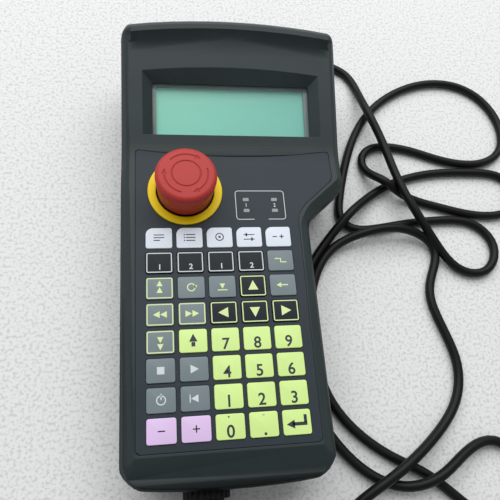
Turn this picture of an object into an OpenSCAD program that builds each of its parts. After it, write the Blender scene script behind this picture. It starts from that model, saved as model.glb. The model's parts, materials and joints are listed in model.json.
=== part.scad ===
// Teach pendant: a bent two-part housing with a forty-key pad, a four-line
// display, a push-and-turn stop button, and a cable with its plug.
// Millimetres. X runs to the right across the face, Y towards the head and Z out
// of the face. The pendant lies on its flat back, and the origin is on that back,
// under the middle of the housing.
// A place on the face is [x, s], from the middle of the key field: s is measured
// along the face, and e is the depth below it. bent() turns s and e into a real
// place, past the bend between grip and head.

/* [Key pad] */
// Number of key columns
cols = 5; // [4:1:5]
// Number of key rows
rows = 8; // [6:1:8]
// Distance between key columns
pitch_x = 14.5; // [14:0.1:15.5]
// Distance between key rows
pitch_y = 12.5; // [12:0.1:13.5]
// Gap between neighbouring keys
key_gap = 2; // [1.8:0.1:2.6]
// Corner radius of a key
key_r = 1.1; // [0.6:0.1:2]
// Radius of the large corner on the keys of the first row
key_lead_r = 3.4; // [2:0.2:4.4]
// How far a key stands above the overlay
key_proud = 0.6; // [0.5:0.05:1]
// How far a key travels
key_travel = 0.5; // [0.3:0.05:0.5]
// Thickness of the printed overlay
overlay_t = 0.6; // [0.4:0.1:0.8]
// Clearance round a key in the overlay
key_clear = 0.3; // [0.25:0.05:0.4]
// Thickness of the flange that holds a key in
flange_t = 0.7; // [0.6:0.1:0.9]
// How far the flange reaches past the key on each side
flange_w = 0.6; // [0.55:0.05:0.65]
// Thickness of the switch mat behind the keys
mat_t = 0.6; // [0.4:0.1:1]
// Thickness of the circuit boards
board_t = 1.6; // [1.2:0.2:2]

/* [Housing] */
// From the key field to the grip's outer edge
grip_band = 9.75; // [9:0.25:11]
// How much each side of the grip closes in towards the bottom end
grip_taper = 1.5; // [0:0.25:3]
// Width of the head where it leaves the grip
head_w = 116.4; // [114:0.6:122]
// How much each side of the head closes in towards its top
head_taper = 0.25; // [0:0.25:3]
// How far the middle of the head lies to the right of the grip's
head_shift = 10.6; // [9.6:0.2:12]
// Depth of the housing from the face to the back
depth = 35; // [34:0.5:42]
// Depth of the front shell from the face to the parting line
front_depth = 14; // [13:0.5:15]
// Thickness of the outer walls
wall = 2.6; // [2:0.2:3]
// Angle between the head and the grip
tilt = 15; // [10:1:18]
// Radius of the bend in the face
bend_r = 45; // [40:1:55]
// Length of the head past the bend
head_len = 67.7; // [67:0.5:75]
// Radius of the arcs that the two ends of the housing follow
end_r = 370; // [300:10:500]
// How far the rounded sides reach in over the face
edge_in = 4.6; // [3.5:0.1:5]
// How far the rounded sides reach down
edge_drop = 7.5; // [6:0.5:9]
// How far the rear cover's walls close in towards the back
rear_draft = 3; // [2:0.25:4]
// Radius of the rear cover's lower edges
rear_r = 7; // [5:0.5:8]
// Height of the lip across the top of the head
lip_h = 4; // [2.5:0.25:5]
// Width of the lip, from the end of the head
lip_w = 7.2; // [6:0.2:8.4]
// Width of the slope from the lip down to the face
lip_slope = 3.6; // [2.6:0.2:4.6]
// Depth of the scoop at the bottom end of the grip
scoop_d = 4.5; // [3:0.25:5]
// Width of the scoop's slope
scoop_w = 7.6; // [6.6:0.2:8.2]
// Radius of the fastening screws' shank
screw_r = 1.5; // [1.2:0.1:1.8]

/* [Display] */
// Width of the window's opening
window_w = 84; // [80:0.5:88]
// Height of the window's opening
window_h = 29.3; // [26:0.3:30]
// Depth of the recess round the window
recess_d = 4; // [3:0.25:4.5]
// Width of the recess's slopes beside and above the window
recess_w = 5; // [4:0.2:6]
// Thickness of the window pane
pane_t = 1.5; // [1:0.25:2]
// Width of the bezel that shows at each side of the window
view_side = 1.85; // [1:0.05:4]
// Width of the bezel that shows above and below the characters
view_rim = 0.9; // [0.5:0.05:3]

/* [Stop button] */
// Radius of the button's head at its top
head_r = 14.7; // [13.9:0.1:15]
// Radius of the head's skirt at the bottom
skirt_r = 13.6; // [12.8:0.1:13.8]
// Height of the head's top above the face
head_top = 18; // [16:0.25:20]
// How far the button is pushed
push = 4; // [3:0.25:5]
// Outer radius of the ring round the button
ring_r = 18.4; // [17.4:0.1:18.8]
// Thickness of the ring
ring_t = 1.5; // [1:0.25:2]
// Radius of the well that the head sinks into
well_r = 14.4; // [14.3:0.05:14.8]
// Radius of the stem
stem_r = 5; // [4:0.25:6]

/* [Cable] */
// Diameter of the cable
cord_d = 5; // [4.5:0.1:5.5]
// Radius of the cable gland's collar
gland_r = 10.4; // [9.4:0.2:11]
// Length of the tapered strain relief
relief_l = 35; // [30:1:40]
// Radius of the plug's coupling ring
plug_r = 8; // [7.5:0.25:9]

/* [Hidden] */
$fn = 64;
function key_name(r, c) = str("key_r", r, "_c", c);

fit = 0.08;      // running fit of the stem, on the radius
slack = 0.3;     // clearance between pieces that move apart
seat = 0.15;     // clearance round a piece in its seat
groove = 0.3;    // shadow gap round the overlay and along the parting line
past = 20;       // how far cutting shapes reach past what they cut

field_w = cols * pitch_x;
field_h = rows * pitch_y;
key_w = pitch_x - key_gap;
key_h = pitch_y - key_gap;

// Depths of the layers behind the overlay's face
flange_e = overlay_t + 0.2;
key_back = flange_e + flange_t;
pad_h = 0.35;
pad_e = key_back + key_travel + slack + 0.05;
mat_e = pad_e + pad_h;
face_wall = mat_e + mat_t;
board_lap = 1.5;
opening_w = field_w + 1;
opening_h = field_h + 1;

// Places along the face
grip_w = field_w + 2 * grip_band;
foot_w = grip_w - 2 * grip_taper;
s_end = -(field_h / 2 + 17.1);
s_scoop = s_end + 13.4;
s_bend = field_h / 2 + 35.5;
s_head = s_bend + bend_r * tilt * PI / 180;
s_top = s_head + head_len;
notch_s = [field_h / 2 + 5, field_h / 2 + 24.5];
flank_s = [field_h / 2 - 35, field_h / 2 + 25];
head_left = head_shift - head_w / 2;
head_right = head_shift + head_w / 2;
crown = head_w / 2 - head_taper;

// ---------- outlines on the face ----------

function unit(v) = v / norm(v);
function turning(a, b) = a[0] * b[1] - a[1] * b[0];

// Corners are [x, s, radius], anticlockwise. inset() moves the edges in by d.
function inset(p, d) = let (n = len(p)) [for (i = [0:n - 1])
    let (here = [p[i][0], p[i][1]],
         last = [p[(i + n - 1) % n][0], p[(i + n - 1) % n][1]],
         next = [p[(i + 1) % n][0], p[(i + 1) % n][1]],
         a = unit(here - last),
         b = unit(next - here),
         m = here + d * [-a[1] - b[1], a[0] + b[0]] / (1 + a * b),
         r = p[i][2])
    [m[0], m[1], r == 0 ? 0 : turning(a, b) > 0 ? max(r - d, 1) : r + d]];

// rounded() turns each corner that has a radius into an arc of some steps.
function rounded(p, steps = 6) = let (n = len(p)) [for (i = [0:n - 1])
    let (o = [p[i][0], p[i][1]],
         r = p[i][2],
         a = unit([p[(i + n - 1) % n][0], p[(i + n - 1) % n][1]] - o),
         b = unit([p[(i + 1) % n][0], p[(i + 1) % n][1]] - o),
         half = acos(max(-1, min(1, a * b))) / 2,
         c = o + unit(a + b) * r / sin(half),
         from = o + a * r / tan(half) - c,
         sweep = sign(turning(-a, b)) * (180 - 2 * half))
    for (k = [0:r == 0 ? 0 : steps])
        let (t = sweep * k / steps)
        r == 0 ? o
               : c + [from[0] * cos(t) - from[1] * sin(t), from[0] * sin(t) + from[1] * cos(t)]];

function box_corners(w, h, r) =
    [[-w / 2, -h / 2, r], [w / 2, -h / 2, r], [w / 2, h / 2, r], [-w / 2, h / 2, r]];

// How far an arc of radius end_r has dropped at x from its middle
function sag(x) = end_r - sqrt(end_r * end_r - x * x);
arc_steps = 8;
// Points of an arc that ends at x = half and -half, well clear of its rounded ends
function arc_points(mid_x, mid_s, half, bow) = [for (i = [0:arc_steps])
    let (x = (half - 15) * (1 - 2 * i / arc_steps)) [mid_x + x, mid_s - bow * sag(x), 0]];

// Places of the bend on the straight edge from a up to b
bend_steps = 6;
bend_places = [for (i = [0:bend_steps]) s_bend + (s_head - s_bend) * i / bend_steps];
function up_edge(a, b) = [for (s = bend_places) if (s > a[1] + 3.5 && s < b[1] - 3.5)
    [a[0] + (b[0] - a[0]) * (s - a[1]) / (b[1] - a[1]), s, 0]];
function reversed(l) = [for (i = [len(l) - 1:-1:0]) l[i]];

housing_corners = let (
    foot = foot_w / 2,
    right = [head_right, notch_s[1], 8],
    top_right = [head_shift + crown, s_top - sag(crown), 6],
    top_left = [head_shift - crown, s_top - sag(crown), 6],
    left = [head_left, flank_s[1], 60])
    concat(
        [[-foot, s_end + sag(foot), 9]],
        reversed(arc_points(0, s_end, foot, -1)),
        [[foot, s_end + sag(foot), 9], [grip_w / 2, notch_s[0], 15], right],
        up_edge(right, top_right),
        [top_right],
        arc_points(head_shift, s_top, crown, 1),
        [top_left],
        reversed(up_edge(left, top_left)),
        [left, [-grip_w / 2, flank_s[0], 60]]);

// The overlay follows the housing's outline and ends in an arc under the display.
notch_m = (notch_s[1] - notch_s[0]) / (head_right - grip_w / 2);
notch_margin = 6.1;
function notch_line(x) =
    notch_s[0] + (x - grip_w / 2) * notch_m + notch_margin * sqrt(1 + notch_m * notch_m);
overlay_corners = let (
    x0 = grip_w / 2 - edge_in - 0.7,
    foot = foot_w / 2 - edge_in,
    low = s_scoop + 1.1,
    high = field_h / 2 + 43,
    left_x = head_left + edge_in + 2.7,
    right_x = head_right - edge_in - 3,
    half = (right_x - left_x) / 2,
    elbow = [right_x, notch_line(right_x), 6.5])
    concat(
        [[-foot, low, 2], [foot, low, 2], [x0, notch_line(x0), 15], elbow],
        up_edge(elbow, [right_x, high]),
        [[right_x, high, 2]],
        arc_points(left_x + half, high - sag(half), half, -1),
        [[left_x, high, 2]],
        reversed(up_edge([-foot, low], [left_x, high])));

// ---------- the bend ----------

// bent() gives [y, z] for a place s and a depth e.
function bent(s, e) =
    s < s_bend ? [s, -e]
    : let (a = min((s - s_bend) / bend_r * 180 / PI, tilt), far = max(s - s_head, 0))
      [s_bend + (bend_r + e) * sin(a) + far * cos(a),
       bend_r - (bend_r + e) * cos(a) + far * sin(a)];
head_at = bent(s_head, 0);
// on_head() takes [x, s] with Z out of the face to its place on the head.
module on_head() {
    translate([0, head_at[0], head_at[1]]) rotate([tilt, 0, 0]) translate([0, -s_head, 0]) children();
}

// The lip lifts the rounded edge along the top of the head.
function lifted(s) = let (t = max(0, min(1, (s - s_top + 11) / 7))) lip_h * t * t * (3 - 2 * t);
function ring(corners, d, e, lift = 0) = let (outer = rounded(corners), p = rounded(inset(corners, d)))
    [for (i = [0:len(p) - 1]) let (q = bent(p[i][1], e - lift * lifted(outer[i][1])))
        [p[i][0], q[0], q[1]]];
function level(points, z) = [for (p = points) [p[0], p[1], z]];

// A skin over rings that have the same number of points, from the lowest up
module loft(rings) {
    n = len(rings[0]);
    top = (len(rings) - 1) * n;
    polyhedron(
        points = [for (r = rings) each r],
        faces = concat(
            [[for (i = [0:n - 1]) i]],
            [for (k = [0:len(rings) - 2], i = [0:n - 1], half = [0:1])
                let (a = k * n + i, b = k * n + (i + 1) % n)
                half == 0 ? [a, a + n, b + n] : [a, b + n, b]],
            [[for (i = [n - 1:-1:0]) top + i]]));
}
// A tall column whose sides pass through the rings
module column(rings) {
    loft(concat([level(rings[0], -depth - past)], rings, [level(rings[len(rings) - 1], 3 * past)]));
}

// The front's side starts at a crease in the face and rounds over to the parting line.
crease = 30;
side = [for (a = [crease:15:90]) [edge_in * (1 - sin(a)) / (1 - sin(crease)),
                                  edge_drop * (cos(crease) - cos(a)) / cos(crease)]];
above = side[0] + (side[0] - side[1]) / 2;
function side_lift(e) = max(0, 1 - e / edge_drop);
function front_rings(w) = concat(
    [ring(housing_corners, w, front_depth + 3 + w)],
    [for (p = reversed(side)) ring(housing_corners, p[0] + w, p[1] + w, side_lift(p[1]))],
    [ring(housing_corners, above[0] + w, above[1] + w, 1)]);
function rear_rings(w) = concat(
    [ring(housing_corners, rear_draft + rear_r + w, depth - w + 0.5)],
    [for (a = [75:-25:0]) ring(housing_corners, rear_draft + rear_r * (1 - cos(a)) + w,
                               depth - rear_r + rear_r * sin(a) - w)],
    [ring(housing_corners, groove + w, front_depth - 2)]);

// A side view in [y, z], pulled across the whole width
module across() {
    w = 2 * head_w;
    translate([-w / 2, 0, 0]) rotate([90, 0, 90]) linear_extrude(w) children();
}
function face_line(e) = concat(
    [bent(s_end - past, e)], [for (s = bend_places) bent(s, e)], [bent(s_top + past, e)]);
module slab(e_top, e_low) {
    across() polygon(concat(face_line(e_top), reversed(face_line(e_low))));
}

// The face with its scoop: e = 0 is the outside, and in moves the scoop for the inside.
scoop_rim = 1.1;
scoop_rim_s = s_end + 4.1;
function scooped(e, in) = concat(
    [[s_end - past, -e - scoop_d + scoop_rim], [scoop_rim_s + in, -e - scoop_d + scoop_rim],
     [s_scoop - scoop_w + in, -e - scoop_d], [s_scoop + in, -e]],
    [for (s = bend_places) bent(s, e)]);
s_step = s_top - past;
module front_slab() {
    across() polygon(concat(
        scooped(0, 0),
        [bent(s_step, 0), bent(s_step, -lip_h), bent(s_top + past, -lip_h)],
        reversed(face_line(front_depth))));
}
// The room inside walls of a thickness w and a face of a thickness e
module front_room(w, e) {
    intersection() {
        column(front_rings(w));
        across() polygon(concat(
            scooped(e, 1.2), [bent(s_top + past, e)], reversed(face_line(front_depth + 1))));
    }
}
// The slope in front of the lip follows the head's end.
module lip_cut() {
    half = head_w / 2 + past;
    function edge(end, z) = concat(
        [[head_shift - half, s_step - past, z], [head_shift + half, s_step - past, z],
         [head_shift + half, end - sag(half), z]],
        [for (p = arc_points(head_shift, end, half, 1)) [p[0], p[1], z]],
        [[head_shift - half, end - sag(half), z]]);
    on_head() loft([edge(s_top - lip_w - lip_slope, 0), edge(s_top - lip_w, lip_h),
                    edge(s_top - lip_w, lip_h + past)]);
}

// ---------- places ----------

stop_at = [-15.8, field_h / 2 + 19];
switch_r = 16.4;
hole_r = well_r + 1;
led_size = [3, 1.8];
led_mid = [21.65, field_h / 2 + 11.45];
window_at = [head_shift, s_head + 18.3];
pane_e = recess_d + 1;
bezel_e = pane_e + pane_t;
bezel_t = 1.7;
glass_e = bezel_e + bezel_t;
glass_t = 1.8;
pane_lap = 2;
view_size = [window_w - 2 * view_side, window_h - 2 * view_rim];
post_r = 2;
post_in = 3.5;   // from the display board's edge to the middle of its posts
module_w = head_w - 14.4;
post_at = [module_w / 2 - post_in, window_h / 2 + pane_lap + post_r + slack];
module_size = [module_w, 2 * (post_at[1] + post_in)];
flat_screws = [[-31, s_end + 10.6], [31, s_end + 10.6], [head_left + 12.6, s_bend - 4.5],
               [head_right - 15.8, s_bend - 5.5]];
head_screws = [[head_shift - 47, s_top - 15], [head_shift + 47, s_top - 15]];
boss_r = screw_r + 2;
sink_r = screw_r + 1.8;
sink_e = depth - 5;
screw_tip = face_wall + 5.5;
chips_at = [[20, -30], [20, 0], [20, 30]];
chip_size = [9, 7];
chip_t = 1.6;
socket_at = [-12, 40];
socket_size = [26, 5];
socket_h = 3;
main_e = 16;
main_mid = [0, -2];
main_size = [field_w - 2.5, field_h - 2];
main_posts = [for (x = [-1, 1], s = [-1, 1])
    main_mid + [x * (main_size[0] / 2 - 5), s * (main_size[1] / 2 - 8)]];
gland_x = -10;
gland_e = 21.5;

// Stands children() at each screw, with Z out of the face.
module at_screws() {
    for (p = flat_screws) translate(p) children();
    on_head() for (p = head_screws) translate(p) children();
}
// Stands children() in the middle of the display's window.
module at_window() { on_head() translate(window_at) children(); }
module at_leds() {
    for (x = [-1, 1], s = [-1, 1]) translate(led_mid + [x * 7.25, s * 3.05]) children();
}
module plate(size, e_top, e_low, r = 1) {
    translate([0, 0, -e_low]) linear_extrude(e_low - e_top)
        polygon(rounded(box_corners(size[0], size[1], r), 3));
}
// Lies along the cable's way out, with Z towards the grip's end.
module at_gland() { translate([gland_x, s_end, -gland_e]) rotate([90, 0, 0]) children(); }

// ---------- housing ----------

module recess() {
    w = window_w / 2;
    h = window_h / 2;
    // How far the slopes have opened at a height above the recess's floor
    function opened(z, k) = let (x = w + k * recess_w, s = h + k * recess_w) concat(
        [[-x, -h, z], [x, -h, z]],
        [for (i = [0:arc_steps]) let (t = x * (1 - 2 * i / arc_steps))
            [t, s + min(k, 1) * (sag(x) - sag(t)), z]]);
    at_window() loft([opened(-recess_d, 0), opened(0, 1), opened(1, 1.25)]);
}

module front_shell() {
    color([0.27, 0.31, 0.32]) difference() {
        union() {
            difference() {
                intersection() {
                    column(front_rings(0));
                    front_slab();
                }
                front_room(wall, face_wall);
                lip_cut();
            }
            at_window() plate([window_w + 2 * recess_w + 4, window_h + 2 * recess_w + 7],
                              1, bezel_e, 2);
            at_window() for (x = [-1, 1], s = [-1, 1])
                translate([x * post_at[0], s * post_at[1], -glass_e - glass_t])
                    cylinder(r = post_r, h = glass_t + glass_e - 2);
            screw_posts();
        }
        recess();
        at_window() plate([window_w, window_h], recess_d - 0.5, bezel_e + 1, 0.8);
        at_window() plate([window_w + 2 * pane_lap + 2 * seat, window_h + 2 * pane_lap + 2 * seat],
                          pane_e, bezel_e + 1);
        intersection() {
            column([ring(overlay_corners, 0, 3), ring(overlay_corners, 0, -3)]);
            slab(-2, overlay_t);
        }
        plate([opening_w, opening_h], -1, face_wall + 1, 1.5);
        translate([stop_at[0], stop_at[1], -face_wall - 1]) cylinder(r = hole_r, h = face_wall + 2);
        at_leds() plate(led_size + [slack, slack], -1, face_wall + 1, 0.4);
        at_screws() translate([0, 0, -front_depth - 1])
            cylinder(r = screw_r + 0.05, h = front_depth - screw_tip + 2);
    }
}
// Posts that take the screws, from the parting line up to the inside of the face
module screw_posts() {
    intersection() {
        at_screws() translate([0, 0, -front_depth]) cylinder(r = boss_r, h = front_depth - 1.5);
        front_room(wall - 1, face_wall - 1);
        slab(0, front_depth);
    }
}

module rear_cover() {
    color([0.2, 0.24, 0.25]) difference() {
        union() {
            difference() {
                intersection() {
                    column(rear_rings(0));
                    slab(front_depth, depth);
                }
                intersection() {
                    column(rear_rings(wall));
                    slab(front_depth - 1, depth - wall);
                }
            }
            at_screws() translate([0, 0, -depth + wall - 1])
                cylinder(r = boss_r + 0.6, h = depth - wall + 1 - front_depth);
            for (p = main_posts) translate([p[0], p[1], -depth + wall - 1])
                cylinder(r = 3, h = depth - wall + 1 - main_e - board_t);
            intersection() {
                at_gland() translate([0, 0, -gland_wall]) cylinder(r = gland_r + 0.6, h = gland_wall);
                slab(front_depth, depth);
            }
        }
        at_screws() translate([0, 0, -depth - 1]) {
            cylinder(r = screw_r + 0.2, h = depth);
            cylinder(r = sink_r, h = depth + 1 - sink_e);
        }
        at_gland() translate([0, 0, -past]) cylinder(r = gland_bore, h = 2 * past);
    }
}

module housing_screws() {
    color("silver") at_screws() difference() {
        union() {
            translate([0, 0, -sink_e]) cylinder(r = screw_r, h = sink_e - screw_tip);
            translate([0, 0, -sink_e - 2]) cylinder(r = sink_r - 0.3, h = 2);
        }
        translate([0, 0, -sink_e - 3]) cylinder(r = screw_r * 0.8, h = 2.2, $fn = 6);
    }
}

// ---------- key pad ----------

function key_at(r, c) = [(c - (cols + 1) / 2) * pitch_x, ((rows + 1) / 2 - r) * pitch_y];
// Outline of a key, larger by d on every side: row 1 has one large corner.
function key_outline(r, d) =
    let (w = key_w + 2 * d, h = key_h + 2 * d, k = key_r + max(d, 0))
    rounded([[-w / 2, -h / 2, k], [w / 2, -h / 2, k], [w / 2, h / 2, k],
             [-w / 2, h / 2, r == 1 ? key_lead_r + d : k]], 4);

white = [0.86, 0.88, 0.9];
lime = [0.78, 0.93, 0.49];
pink = [0.91, 0.78, 0.93];
grey = [0.46, 0.5, 0.52];
dark = [0.2, 0.22, 0.27];
function key_colour(r, c) =
    r == 1 ? white
    : r == 2 && c <= 4 ? dark
    : (r == 3 && c == 4) || (r == 4 && c >= 3) ? dark
    : r >= 5 && c >= 3 || (r == 5 && c == 2) ? lime
    : r == 8 ? pink
    : grey;

// A cap with a softened edge, on a flange that the overlay holds in
module key(r, c) {
    soft = 0.25;
    color(key_colour(r, c)) translate(key_at(r, c)) {
        translate([0, 0, -key_back]) linear_extrude(flange_t) polygon(key_outline(r, flange_w));
        translate([0, 0, -flange_e]) linear_extrude(flange_e + key_proud - soft)
            polygon(key_outline(r, 0));
        translate([0, 0, key_proud - soft]) linear_extrude(soft)
            polygon(key_outline(r, -soft * 0.6));
    }
}

module keypad_overlay() {
    color([0.26, 0.28, 0.32]) difference() {
        intersection() {
            column([ring(overlay_corners, groove, 3), ring(overlay_corners, groove, -3)]);
            slab(0, overlay_t);
        }
        for (r = [1:rows], c = [1:cols]) translate(key_at(r, c)) translate([0, 0, -1])
            linear_extrude(2) polygon(key_outline(r, key_clear));
        translate([stop_at[0], stop_at[1], -1]) cylinder(r = hole_r + 0.2, h = 2);
        at_leds() plate(led_size + [seat, seat] * 2, -1, 1, 0.4);
    }
}

module switch_mat() {
    color([0.75, 0.76, 0.74]) {
        plate([opening_w - 2 * seat, opening_h - 2 * seat], mat_e, mat_e + mat_t, 1.4);
        for (r = [1:rows], c = [1:cols]) translate(key_at(r, c)) translate([0, 0, -mat_e])
            cylinder(r = 2.4, h = pad_h);
    }
}

module keypad_board() {
    color([0.1, 0.36, 0.2]) {
        plate([opening_w, opening_h] + 2 * [board_lap, board_lap], face_wall, face_wall + board_t);
        for (p = chips_at)
            translate(p) plate(chip_size, face_wall + board_t, face_wall + board_t + chip_t, 0.3);
        translate(socket_at)
            plate(socket_size, face_wall + board_t, face_wall + board_t + socket_h, 0.3);
    }
}

module main_board() {
    color([0.08, 0.32, 0.18]) {
        difference() {
            translate(main_mid) plate(main_size, main_e, main_e + board_t, 2);
            for (p = main_posts) translate([p[0], p[1], -main_e - board_t - 1])
                cylinder(r = 1.2, h = board_t + 2);
        }
        for (p = [[-16, 20, 18], [12, 22, 12], [8, -12, 20], [-18, -16, 10]])
            translate([p[0], p[1]]) plate([p[2], p[2]], main_e - 1.8, main_e, 0.3);
        translate([-8, -44]) plate([24, 8], main_e + board_t, main_e + board_t + 7, 0.3);
    }
}

module mode_leds() {
    color([0.8, 0.8, 0.78]) {
        at_leds() plate(led_size, 0.1, face_wall + 0.5, 0.3);
        translate(led_mid) plate([19, 10], face_wall, face_wall + 1, 0.5);
    }
}

// ---------- display ----------

module display_window() {
    color([0.55, 0.65, 0.62], 0.5) at_window()
        plate([window_w + 2 * pane_lap, window_h + 2 * pane_lap], pane_e, bezel_e);
}
module display_bezel() {
    color([0.45, 0.46, 0.5]) at_window() difference() {
        plate([window_w + 2 * pane_lap, window_h + 2 * pane_lap], bezel_e, glass_e);
        plate(view_size, bezel_e - 1, glass_e + 1, 0.4);
    }
}
module display_module() {
    color([0.55, 0.8, 0.72]) at_window() {
        plate([window_w + 1, window_h + pane_lap], glass_e, glass_e + glass_t, 0.5);
        difference() {
            plate(module_size, glass_e + glass_t, glass_e + glass_t + board_t, 1);
            for (x = [-1, 1], s = [-1, 1]) translate([x * post_at[0], s * post_at[1], -past])
                cylinder(r = 1, h = past);
        }
        translate([0, 8]) plate([module_w - 42, 10], glass_e + glass_t + board_t,
                                glass_e + glass_t + board_t + 1.5, 0.5);
    }
}

// ---------- stop button ----------

block_e = face_wall;
cup_e = block_e + push + 1.2;
cup_floor = 5;
block_size = [24, 26];
switch_e = cup_e + 18.5;
stem_low = switch_e - push - 3;
collar_z = 0.5;
hub_z = collar_z + 1.8;
skirt_z = 1.2;
soft_r = 2.5;

module at_stop() { translate([stop_at[0], stop_at[1], 0]) children(); }

// The ring lies on the face, and its sleeve lines the hole in the shell.
module stop_ring() {
    bevel = 0.5;
    color([0.96, 0.8, 0.08]) at_stop() rotate_extrude() polygon([
        [well_r, -block_e], [hole_r - seat, -block_e], [hole_r - seat, 0], [ring_r, 0],
        [ring_r, ring_t - bevel], [ring_r - bevel, ring_t], [well_r + bevel, ring_t],
        [well_r, ring_t - bevel]]);
}
module stop_switch_block() {
    color([0.12, 0.12, 0.13]) at_stop() difference() {
        union() {
            translate([0, 0, -cup_e - cup_floor])
                cylinder(r = switch_r, h = cup_e + cup_floor - block_e);
            plate(block_size, cup_e + cup_floor - 1, switch_e, 1);
        }
        translate([0, 0, -cup_e]) cylinder(r = well_r, h = cup_e);
        translate([0, 0, -switch_e + 2.5]) cylinder(r = stem_r + fit, h = switch_e);
    }
}
module stop_plunger() {
    color([0.8, 0.8, 0.78]) at_stop() {
        translate([0, 0, -stem_low]) cylinder(r = stem_r, h = stem_low + collar_z);
        translate([0, 0, collar_z]) cylinder(r = stem_r + 2, h = hub_z - slack - collar_z);
        translate([0, 0, hub_z - slack]) cylinder(r = stem_r, h = hub_z + 6.7 - hub_z + slack);
    }
}
// A mushroom with a tapered skirt, a rounded crown and a hub that turns on the stem
module stop_button_head() {
    shell = 1.7;
    room = head_top - 6;
    bore_z = hub_z + 7;
    color([0.75, 0.25, 0.27]) at_stop() rotate_extrude($fn = 96) polygon(concat(
        [[stem_r + fit, hub_z], [stem_r + 3, hub_z], [stem_r + 3, room],
         [skirt_r - shell, room], [skirt_r - shell, skirt_z], [skirt_r, skirt_z]],
        [for (a = [0:15:90])
            [head_r - soft_r + soft_r * cos(a), head_top - soft_r + soft_r * sin(a)]],
        [[0, head_top + 0.3], [0, bore_z], [stem_r + fit, bore_z]]));
}

// ---------- cable ----------

gland_bore = 6.6;
gland_wall = wall + 5;
nut_t = 3.4;
collar_l = 4.8;
// A ribbed collar outside the end wall, with its nut inside
module cable_gland() {
    ribs = 24;
    color([0.11, 0.12, 0.12]) at_gland() difference() {
        union() {
            linear_extrude(collar_l) polygon([for (i = [0:4 * ribs - 1])
                let (r = gland_r - (i % 4 < 2 ? 0 : 0.6), a = 90 * i / ribs) r * [cos(a), sin(a)]]);
            translate([0, 0, -gland_wall - nut_t]) cylinder(r = gland_bore - 0.1, h = gland_wall + nut_t);
            translate([0, 0, -gland_wall - nut_t]) rotate(30)
                cylinder(r = gland_bore + 2, h = nut_t - slack, $fn = 6);
        }
        translate([0, 0, -past]) cylinder(r = cord_d / 2 + 0.1, h = past + 1);
    }
}
// A sleeve that tapers in rings
module strain_relief() {
    steps = 7;
    low_r = 8;
    tip_r = cord_d / 2 + 1.7;
    step = relief_l / steps;
    color([0.1, 0.11, 0.11]) at_gland() translate([0, 0, collar_l]) rotate_extrude() polygon(concat(
        [[0, 0], [low_r, 0]],
        [for (i = [0:steps - 1]) let (r = low_r + (tip_r - low_r) * (i + 0.5) / steps)
            each [[r, (i + 0.1) * step], [r, (i + 0.6) * step],
                  [r - 0.7, (i + 0.65) * step], [r - 0.7, (i + 1) * step]]],
        [[0, relief_l]]));
}

// The cable's way across the table, from the coil to the plug
cord_route = [
    [39, -189, 2.5], [39, -160, 2.5], [42, -139, 2.5], [53, -128, 7], [67, -121, 10.5], [82, -112, 10],
    [98, -102, 4], [113, -88, 2.5], [119, -68, 2.5], [113, -48, 2.5], [107, -30, 2.5], [112, -14, 2.5],
    [115, -1, 2.5], [107, 10, 5], [90, 12.5, 11], [75, 9, 9], [61, 3, 2.5], [48, -9, 2.5],
    [40.5, -32, 2.5], [39.5, -60, 2.5], [43.5, -82, 2.5], [57, -101, 2.5], [74, -113, 2.5],
    [89, -119.5, 2.5], [103, -133, 2.5], [119, -147, 2.5], [140, -142, 2.5], [147, -122, 2.5],
    [129, -103, 2.5], [108, -112, 6], [92, -123, 11.5], [75, -127, 4], [57, -118, 2.5], [43, -102, 2.5],
    [34, -84, 2.5], [32.5, -50, 2.5], [34.5, -22, 2.5], [44, -5, 2.5], [57, 8, 5], [67, 18.5, 11],
    [79, 29, 5], [92, 38.5, 2.5], [108, 45.5, 2.5], [130, 50, 2.5], [156, 50, 2.5], [174, 49, 2.5],
    [183, 35, 2.5], [173, 20, 2.5], [150, 19, 2.5], [128, 25.5, 2.5], [110, 30.5, 2.5], [99, 35, 7],
    [90, 40, 12], [80, 50, 3], [79, 62, 2.5], [88, 71, 2.5], [103, 70.5, 2.5], [118, 65, 2.5],
    [137, 57, 2.5], [162, 54, 2.5], [182, 66, 2.5], [184, 92, 2.5], [170, 114, 2.5], [145, 120.5, 2.5],
    [118, 113, 2.5], [95, 97, 2.5], [79, 74, 2.5], [69.5, 48, 2.5], [65, 31, 2.5], [62.5, 19, 2.5],
    [70, 10.5, 2.5], [86, 12, 2.5], [105, 15.5, 2.5], [126, 17.5, 2.5], [148, 17, 2.5], [160, 0, 2.5],
    [149, -19, 2.5], [128, -16, 2.5], [120, 4, 6], [112, 18, 11], [104, 36, 11.5], [99.5, 58, 10],
    [93.5, 75, 10], [87.5, 92, 11], [88, 108, 3], [84, 124, 2.5], [68, 131, 2.5], [48, 137, 2.5],
    [36, 140, 3], [30, 140, 6], [22, 140, 8]];
lead_route = [[-20.6, -157, 13.5], [-20.6, -170, 13.5]];
coil_at = [9, -189];
coil_r = 30;
coil_w = 4;
coil_turns_high = 4;
plug_at = [22, 140, 8];

// A cubic B-spline that starts and ends at the route's first and last points
function smooth(p, u) = let (
    n = len(p) - 1,
    i = min(floor(u), n - 1),
    t = u - i,
    b = p[i],
    c = p[i + 1],
    a = i > 0 ? p[i - 1] : 2 * b - c,
    d = i + 2 <= n ? p[i + 2] : 2 * c - b)
    (pow(1 - t, 3) * a + (3 * t * t * t - 6 * t * t + 4) * b
     + (-3 * t * t * t + 3 * t * t + 3 * t + 1) * c + t * t * t * d) / 6;
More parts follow.
